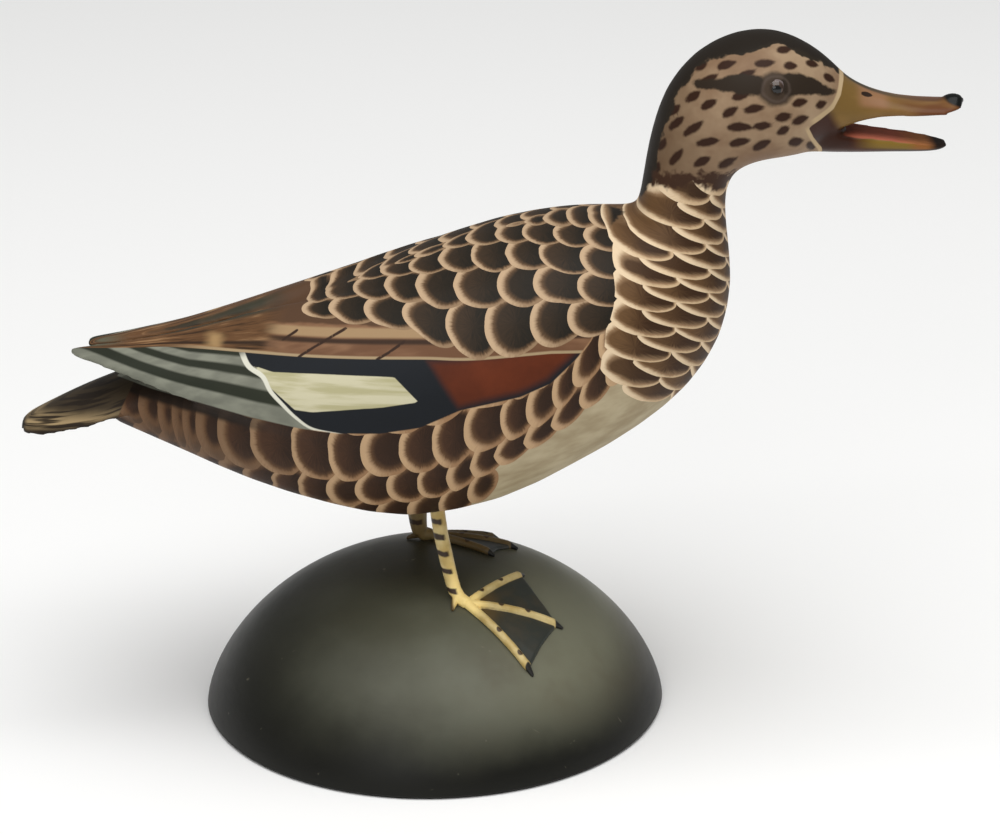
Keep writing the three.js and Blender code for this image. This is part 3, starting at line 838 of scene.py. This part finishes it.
belly_paint = over(ramp(belly_grain, 0.3, 0.7), linear(154, 138, 108), linear(182, 168, 138))
# Painted shade under the rump: the belly is painted dark towards the tail.
belly_paint = over(1 - ramp(forward, -34, -24), belly_paint, linear(40, 29, 20))

paint = over(flank["Covered"], belly_paint, flank_paint)
# Under the free wing tips the flank is painted near-black: the tips' painted shadow over the flank's own
# dark paint.
shade_and_paint_under_wing = between(layer("wing") + waver * 0.5, -1.3, 0.3, 0.3) * (1 - ramp(forward, -24, -16))
paint = over(shade_and_paint_under_wing * 0.92, paint, linear(28, 20, 14))

tail_up, tail_along, _ = parts_of(layers("tail_streaks"))
tail_noise = speckle(joined(tail_along * 0.02, tail_up * 0.28), 7, 2, 0.5)
tail_paint = over(ramp(tail_noise, 0.4, 0.54), linear(46, 36, 24), linear(156, 134, 98))
tail_dark = ramp(tail_up + 0.16 * tail_along + waver * 0.8, 2.2, 4.2)
tail_paint = over(tail_dark * 0.92, tail_paint, linear(34, 26, 18))
tail_paint = over((1 - ramp(tail_up, 0.3, 1.1)) * 0.9, tail_paint, linear(30, 23, 17))
tail_paint = over(1 - ramp(forward, -48.5, -47.7), tail_paint, linear(22, 19, 16))
paint = over(ramp(layer("tail"), -0.1, 0.1), paint, tail_paint)

wing = layer("wing")
quill_up = layer("quills") + waver * 0.1
grey_streaks = speckle(place, 700, 2, 0.5, (0.3, 1, 1))
grey = over(ramp(grey_streaks, 0.35, 0.7), linear(112, 113, 101), linear(130, 131, 117))
quill_dark = over(blotch, linear(32, 35, 26), linear(46, 49, 37))
wing_paint = quill_dark
for low, top in ((-1, 1.5), (2.65, 3.6), (4.45, 5.25)):
    wing_paint = over(between(quill_up, low, top, 0.16), wing_paint, grey)
white_across, white_along, _ = parts_of(layers("white_line"))
black = over(blotch, linear(18, 20, 22), linear(26, 30, 36))
wing_paint = over(ramp(white_across, 0.0, 0.08), wing_paint, black)
chestnut = over(ramp(blotch, 0.3, 0.7), linear(80, 34, 14), linear(100, 44, 20))
wing_paint = over(ramp(layer("chestnut") + waver * 0.4, 0.0, 1.3), wing_paint, chestnut)
speculum_lines = speckle(place, 420, 3, 0.5, (0.06, 1, 3))
cream = over(ramp(speculum_lines, 0.4, 0.62), linear(196, 190, 160), linear(172, 166, 128))
wing_paint = over(ramp(layer("speculum") + quick_waver * 0.06, -0.06, 0.06), wing_paint, cream)
white_width = 0.34 - 0.016 * white_along
wing_paint = over(
    between(white_across, -1 * white_width, white_width, 0.07) * ramp(white_along, 0, 1.6),
    wing_paint, linear(212, 210, 194),
)
tertial_up, tertial_x, rear_share = parts_of(layers("tertials"))
rear_noise = speckle(joined(tertial_x * 0.02, rear_share * 0.9), 6.5, 3, 0.6)
rear_paint = over(ramp(rear_noise, 0.34, 0.5), linear(50, 34, 20), linear(98, 68, 42))
rear_paint = over(ramp(rear_noise, 0.52, 0.66), rear_paint, linear(146, 112, 78))
rear_paint = over(between(rear_share, 0.2, 0.3, 0.04), rear_paint, linear(50, 34, 22))
rear_paint = over(ramp(rear_share, 0.86, 1.0), rear_paint, linear(56, 54, 42))
streak = speckle(place, 420, 3, 0.5, (0.12, 1, 1))
tertial_paint = over(ramp(streak, 0.35, 0.65), linear(104, 72, 50), linear(142, 106, 78))
tertial_paint = over(between(tertial_up, 1.7, 2.3, 0.2), tertial_paint, linear(56, 38, 26))
tertial_paint = over(between(tertial_up, 2.45, 3.6, 0.2), tertial_paint, linear(158, 130, 96))
tertial_paint = over(ramp(tertial_up + waver, 3.7, 4.1), tertial_paint, linear(84, 60, 42))
rear_paint = over(ramp(tertial_x + waver * 3, -20, -16), rear_paint, tertial_paint)
light_patch = between(tertial_x + waver * 2, -26.0, -24.2, 0.9)
light_patch = light_patch * between(tertial_up + waver, 0.2, 1.9, 0.5)
rear_paint = over(light_patch * 0.8, rear_paint, linear(170, 138, 94))
lower_rim = between(tertial_up, -0.1, 0.32, 0.1) * ramp(tertial_x, -32, -24)
rear_paint = over(lower_rim, rear_paint, linear(160, 138, 106))
drawn_lines = ramp(layer("feather_edges") + quick_waver * 0.1, -0.06, 0.05)
rear_paint = over(drawn_lines, rear_paint, linear(50, 32, 22))
wing_paint = over(ramp(tertial_up, -0.06, 0.06), wing_paint, rear_paint)
tip_green = (1 - ramp(tertial_x, -40, -35)) * ramp(rear_share, 0.3, 0.6)
wing_paint = over(tip_green, wing_paint, over(blotch, linear(72, 76, 60), linear(104, 107, 90)))

paint = over(ramp(wing, -0.08, 0.08), paint, wing_paint)
paint = over(back["Covered"], paint, back_paint)
paint = over(breast["Covered"] * ramp(forward, 12, 13), paint, breast_paint)

tan = over(ramp(blotch, 0.3, 0.7), linear(126, 99, 75), linear(162, 138, 110))
nape_shade = 1 - ramp(forward + waver * 3, 26, 34)
tan = over(nape_shade * 0.7, tan, linear(88, 67, 45))
# Painted shade: the lower part of the head is painted darker, most at the bottom.
tan = over((1 - ramp(up, 67, 75)) * 0.4, tan, linear(94, 70, 50))
head_paint = over(ramp(layer("dashes") + quick_waver * 0.4, -0.2, 0.16), tan, linear(48, 26, 13))
eye_ring = layer("eye_ring") + quick_waver * 0.5
head_paint = over(ramp(eye_ring, -0.4, 0.3) * 0.92, head_paint, linear(46, 35, 27))
head_paint = over(ramp(layer("eye_line") + quick_waver * 0.8, -0.2, 0.2), head_paint, linear(42, 32, 22))
head_paint = over(between(eye_ring, 0.35, 0.6, 0.2) * 0.3, head_paint, linear(104, 90, 82))
cap = layer("cap") + waver * 1.6 + quick_waver * 1.2
cap_paint = over(blotch, linear(28, 22, 15), linear(44, 36, 25))
head_paint = over(ramp(cap, -0.15, 0.15), head_paint, cap_paint)
on_head = ramp(up + waver * 0.8, 67.6, 68.0) * ramp(forward, 23, 23.5)
paint = over(on_head, paint, head_paint)
collar = between(up + waver * 3.0 + quick_waver * 3.6, 66.7, 68.4, 0.5) * ramp(forward, 20, 21)
paint = over(collar, paint, over(blotch, linear(40, 23, 13), linear(74, 48, 31)))
nape = ramp(layer("cap") + quick_waver, 0.1, 0.5) * ramp(up, 58, 60) * ramp(forward, 21, 22)
paint = over(nape, paint, linear(30, 23, 15))

upright = layer("upper_bill")
upper_paint = over(ramp(forward, 49, 60), linear(114, 88, 46), linear(98, 58, 33))
bill_streaks = speckle(place, 330, 2, 0.5, (0.4, 1, 1))
upper_paint = over(ramp(bill_streaks, 0.45, 0.7) * 0.55, upper_paint, linear(138, 106, 58))
pinkish = between(forward, 50.2, 53.5, 0.8) * ramp(upright, 0.45, 0.65)
upper_paint = over(pinkish * 0.6, upper_paint, linear(150, 108, 82))
culmen = (1 - ramp(layer("side"), 0.3, 1.1)) * ramp(upright, 0.6, 0.8) * (1 - 0.7 * ramp(forward, 51, 57))
upper_paint = over(culmen, upper_paint, linear(58, 50, 32))
lower_rim = (1 - ramp(upright, 0.05, 0.26)) * ramp(forward, 50, 52)
upper_paint = over(lower_rim, upper_paint, linear(66, 42, 24))
lower_paint = over(ramp(forward, 49, 53), linear(66, 33, 19), linear(126, 100, 40))
lower_paint = over(ramp(forward, 55.5, 57.5), lower_paint, linear(142, 90, 44))
lower_up = layer("lower_bill")
lower_base = over(ramp(forward, 50, 58), linear(66, 32, 20), linear(32, 22, 16))
lower_paint = over(1 - ramp(lower_up, 0.22, 0.46), lower_paint, lower_base)
mouth = over(ramp(forward, 47.5, 51), linear(104, 48, 30), linear(176, 100, 78))
mouth = over(ramp(forward, 54, 58), mouth, linear(178, 118, 70))
mouth_streaks = speckle(place, 500, 2, 0.5, (0.3, 2, 1))
mouth = over(ramp(mouth_streaks, 0.5, 0.7) * 0.5, mouth, linear(110, 62, 40))
upper_half = ramp(layer("gape"), -0.15, 0.15)
in_mouth = ramp(layer("upward"), 0.6, 0.85) * ramp(lower_up, 0.3, 0.5) * (1 - upper_half)
lower_paint = over(in_mouth, lower_paint, mouth)
lower_paint = over(ramp(forward, 58.0, 59.6), lower_paint, linear(36, 26, 20))
bill_paint = over(upper_half, lower_paint, upper_paint)
bill_paint = over(1 - ramp(forward + 0.6 * (up - 73), 47.2, 48.8), bill_paint, linear(56, 28, 16))
corner = (1 - ramp(forward, 48.6, 50.2)) * between(layer("gape"), -1.6, 0.7, 0.4) * (1 - in_mouth)
bill_paint = over(corner, bill_paint, linear(50, 26, 16))
nail = ramp(layer("nail"), -0.15, 0.15)
bill_paint = over(nail, bill_paint, linear(14, 15, 14))
# A pale line runs round the root of the bill and of the lower jaw.
base_across, base_along, _ = parts_of(layers("bill_base"))
jaw_across, jaw_along, _ = parts_of(layers("jaw_base"))
bill_line = between(base_across, -0.55, 0.1, 0.12) * between(base_along, 0.6, 8.9, 0.5)
jaw_line = between(jaw_across, -0.45, 0.1, 0.12) * between(jaw_along, 0.0, 3.4, 0.4)
for line in (bill_line, jaw_line):
    paint = over(line, paint, linear(184, 160, 124))
on_bill = ramp(layer("bill"), -0.06, 0.06)
paint = over(on_bill, paint, bill_paint)
paint = over(ramp(layer("nostril"), -0.05, 0.05), paint, linear(40, 26, 16))

plug(paint, shader.inputs["Base Color"])
gloss = 0.22 * on_bill - 0.35 * in_mouth * on_bill + 0.1 * nail
plug(0.5 + 0.16 * blotch - gloss, shader.inputs["Roughness"])
shader.inputs["Specular IOR Level"].default_value = 0.16
bump(tree, shader, grain, 0.00006, 0.3)
duck.data.materials.append(plumage)


# Legs and feet: cast metal, cream-yellow, with dark bars and claws and dark webs between the toes.
# The feet lie on the dome, and the tops of the legs are let into the belly.
FEET = {
    "right_leg": {
        "side": -1, "hip": (0.3, -6.4), "hub": (4.0, -11.1),
        "toes": [(-50, 10.9), (-4, 11.4), (43, 10.3)], "painted_shade": 0.0,
    },
    "left_leg": {
        "side": 1, "hip": (-1.9, 5.9), "hub": (-0.1, 5.9),
        "toes": [(-34, 9.2), (-2, 10.6), (19, 8.8)], "painted_shade": 0.85,
    },
}
TOE_JOINTS = [(0.25, 0.58), (0.355, 0.635), (0.5, 0.81)]
LEG_MESH = 0.11
LEG_PAINT = 0.1
FOOT_DROP = 0.26
HIP_PART = 2.5
HIP_RISE = 1.0


def dome_height(x, y):
    share = np.minimum(1, np.hypot(x, y) / BASE_RADIUS)
    return BASE_HEIGHT * np.sin(np.arccos(share ** (1 / SIDE_POWER))) ** RISE_POWER


def leg(node):
    """A leg with its foot, smoothed, set down on the dome and let into the belly."""
    piece = copy_of(node, node + "_cast")
    modified(piece, "REMESH", mode="VOXEL", voxel_size=LEG_MESH * MM, use_smooth_shade=True)
    modified(piece, "SMOOTH", factor=0.5, iterations=6)
    modified(piece, "DISPLACE", strength=LEG_PAINT * MM, mid_level=0)
    points = points_of(piece)
    x, y, z = points.T
    clear = z - dome_height(x, y)
    z = z - FOOT_DROP * np.clip(1 - (clear - 1.2) / 1.5, 0, 1)
    z = z + HIP_RISE * np.clip((z - z.max() + HIP_PART) / HIP_PART, 0, 1)
    piece.data.vertices.foreach_set("co", (np.c_[x, y, z] * MM).ravel())
    foot = FEET[node]
    toe_across = np.full(len(x), 9.0)
    toe_along = np.zeros(len(x))
    toe_share = np.zeros(len(x))
    joint = np.full(len(x), 9.0)
    for (angle, length), shares in zip(foot["toes"], TOE_JOINTS):
        turn = math.radians(foot["side"] * angle)
        towards = np.array([math.cos(turn), math.sin(turn)])
        gap = np.c_[x, y] - foot["hub"]
        along = gap @ towards
        across = np.hypot(*(gap - np.clip(along, 0, length)[:, None] * towards).T)
        nearer = across < toe_across
        toe_across = np.where(nearer, across, toe_across)
        toe_along = np.where(nearer, along, toe_along)
        toe_share = np.where(nearer, along / length, toe_share)
        for share in shares:
            joint = np.minimum(joint, np.hypot(*(gap - share * length * towards).T))
    raised = np.clip((29 - z) / 12, 0, 1)
    front_side = x - (foot["hip"][0] + raised * (foot["hub"][0] - 1.2 - foot["hip"][0]))
    keep("toe", np.c_[toe_across, toe_along, toe_share], piece)
    keep("lift", z - dome_height(x, y), piece)
    keep("joint", joint, piece)
    keep("front_side", front_side, piece)
    keep("hub", np.hypot(x - foot["hub"][0], y - foot["hub"][1]), piece)
    keep("painted_shade", np.full(len(x), foot["painted_shade"]), piece)
    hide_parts(node)
    return piece


leg_paint, tree, shader, place = new_material("painted_leg")
toe_across, toe_along, toe_share = parts_of(layers("toe"))
lift = layer("lift")
wash = speckle(place, 400, 3)
wobble = speckle(place, 900, 2) - 0.5
cream = over(ramp(wash, 0.35, 0.65), linear(184, 157, 92), linear(210, 189, 132))
# Round the hub of each foot the cream is painted paler: a painted highlight on the knob.
cream = over(1 - ramp(layer("hub"), 1.2, 3.0), cream, linear(255, 226, 146))
# The far leg lies in the body's shadow, so it is painted brown over its cream: painted shade.
cream = over(layer("painted_shade"), cream, linear(76, 57, 34))
web = over(ramp(wash, 0.4, 0.7), linear(40, 44, 38), linear(56, 52, 40))
web = over(1 - ramp(layer("hub"), 2.2, 5.0), web, linear(84, 66, 34))
on_toe = 1 - ramp(toe_across, 0.5, 0.62)
on_foot = 1 - ramp(lift, 1.0, 1.5)
on_web = (1 - on_toe) * ramp(layer("hub"), 1.5, 1.9) * (1 - ramp(lift, 0.75, 1.0))
colour = over(on_web, cream, web)
colour = over((1 - ramp(layer("joint") + wobble * 0.2, 0.28, 0.4)) * on_foot, colour, linear(66, 46, 22))
colour = over(on_foot * ramp(toe_share, 0.915, 0.93), colour, linear(26, 24, 20))
height = parts_of(place)[2] / MM
bars = 0
for level in (18.7, 21.0, 23.0, 24.9, 26.7):
    bars = between(height + wobble * 0.4, level - 0.32, level + 0.32, 0.12) + bars
bars = bars * (1 - ramp(layer("front_side") + wobble * 0.5, 0.2, 0.5)) * ramp(lift, 0.9, 1.2)
colour = over(bars, colour, linear(52, 36, 20))
ankle_patch = (1 - ramp(layer("hub"), 0.9, 2.0)) * (1 - ramp(layer("front_side"), -0.5, 0.2))
colour = over(ankle_patch * 0.9, colour, linear(118, 76, 38))
hip_patch = ramp(height, 27.6, 28.4) * (1 - ramp(layer("front_side"), -0.2, 0.4))
colour = over(hip_patch, colour, linear(50, 36, 22))
plug(colour, shader.inputs["Base Color"])
plug(0.36 + 0.2 * wash, shader.inputs["Roughness"])
shader.inputs["Specular IOR Level"].default_value = 0.4
bump(tree, shader, speckle(place, 900), 0.00005, 0.3)
for node in FEET:
    piece = leg(node)
    piece.data.materials.append(leg_paint)
    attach(piece, "root")

# Eyes: small glass domes, brown with a black pupil and a paler rim.
# They are let into the sides of the head.
eye_glass, tree, shader, place = new_material("eye_glass")
EYE_FORWARD = 40.0
EYE_UP = 79.2
eye_x, _, eye_z = parts_of(place)
from_pupil = reckon("SQRT", (eye_x / MM - EYE_FORWARD) ** 2 + (eye_z / MM - EYE_UP) ** 2)
iris = over(ramp(speckle(place, 900, 3), 0.35, 0.65), linear(48, 34, 26), linear(84, 66, 54))
iris = over(ramp(from_pupil, 0.85, 1.05), iris, linear(112, 100, 98))
plug(over(1 - ramp(from_pupil, 0.5, 0.62), iris, linear(10, 9, 9)), shader.inputs["Base Color"])
plug(0.07 + 0.05 * speckle(place, 600), shader.inputs["Roughness"])
bump(tree, shader, speckle(place, 500), 0.00001, 0.1)
for node in ("right_eye", "left_eye"):
    eye = copy_of(node, node + "_glass")
    modified(eye, "SUBSURF", levels=2, render_levels=2)
    eye.data.shade_smooth()
    eye.data.materials.append(eye_glass)
    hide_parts(node)
    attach(eye, "root")
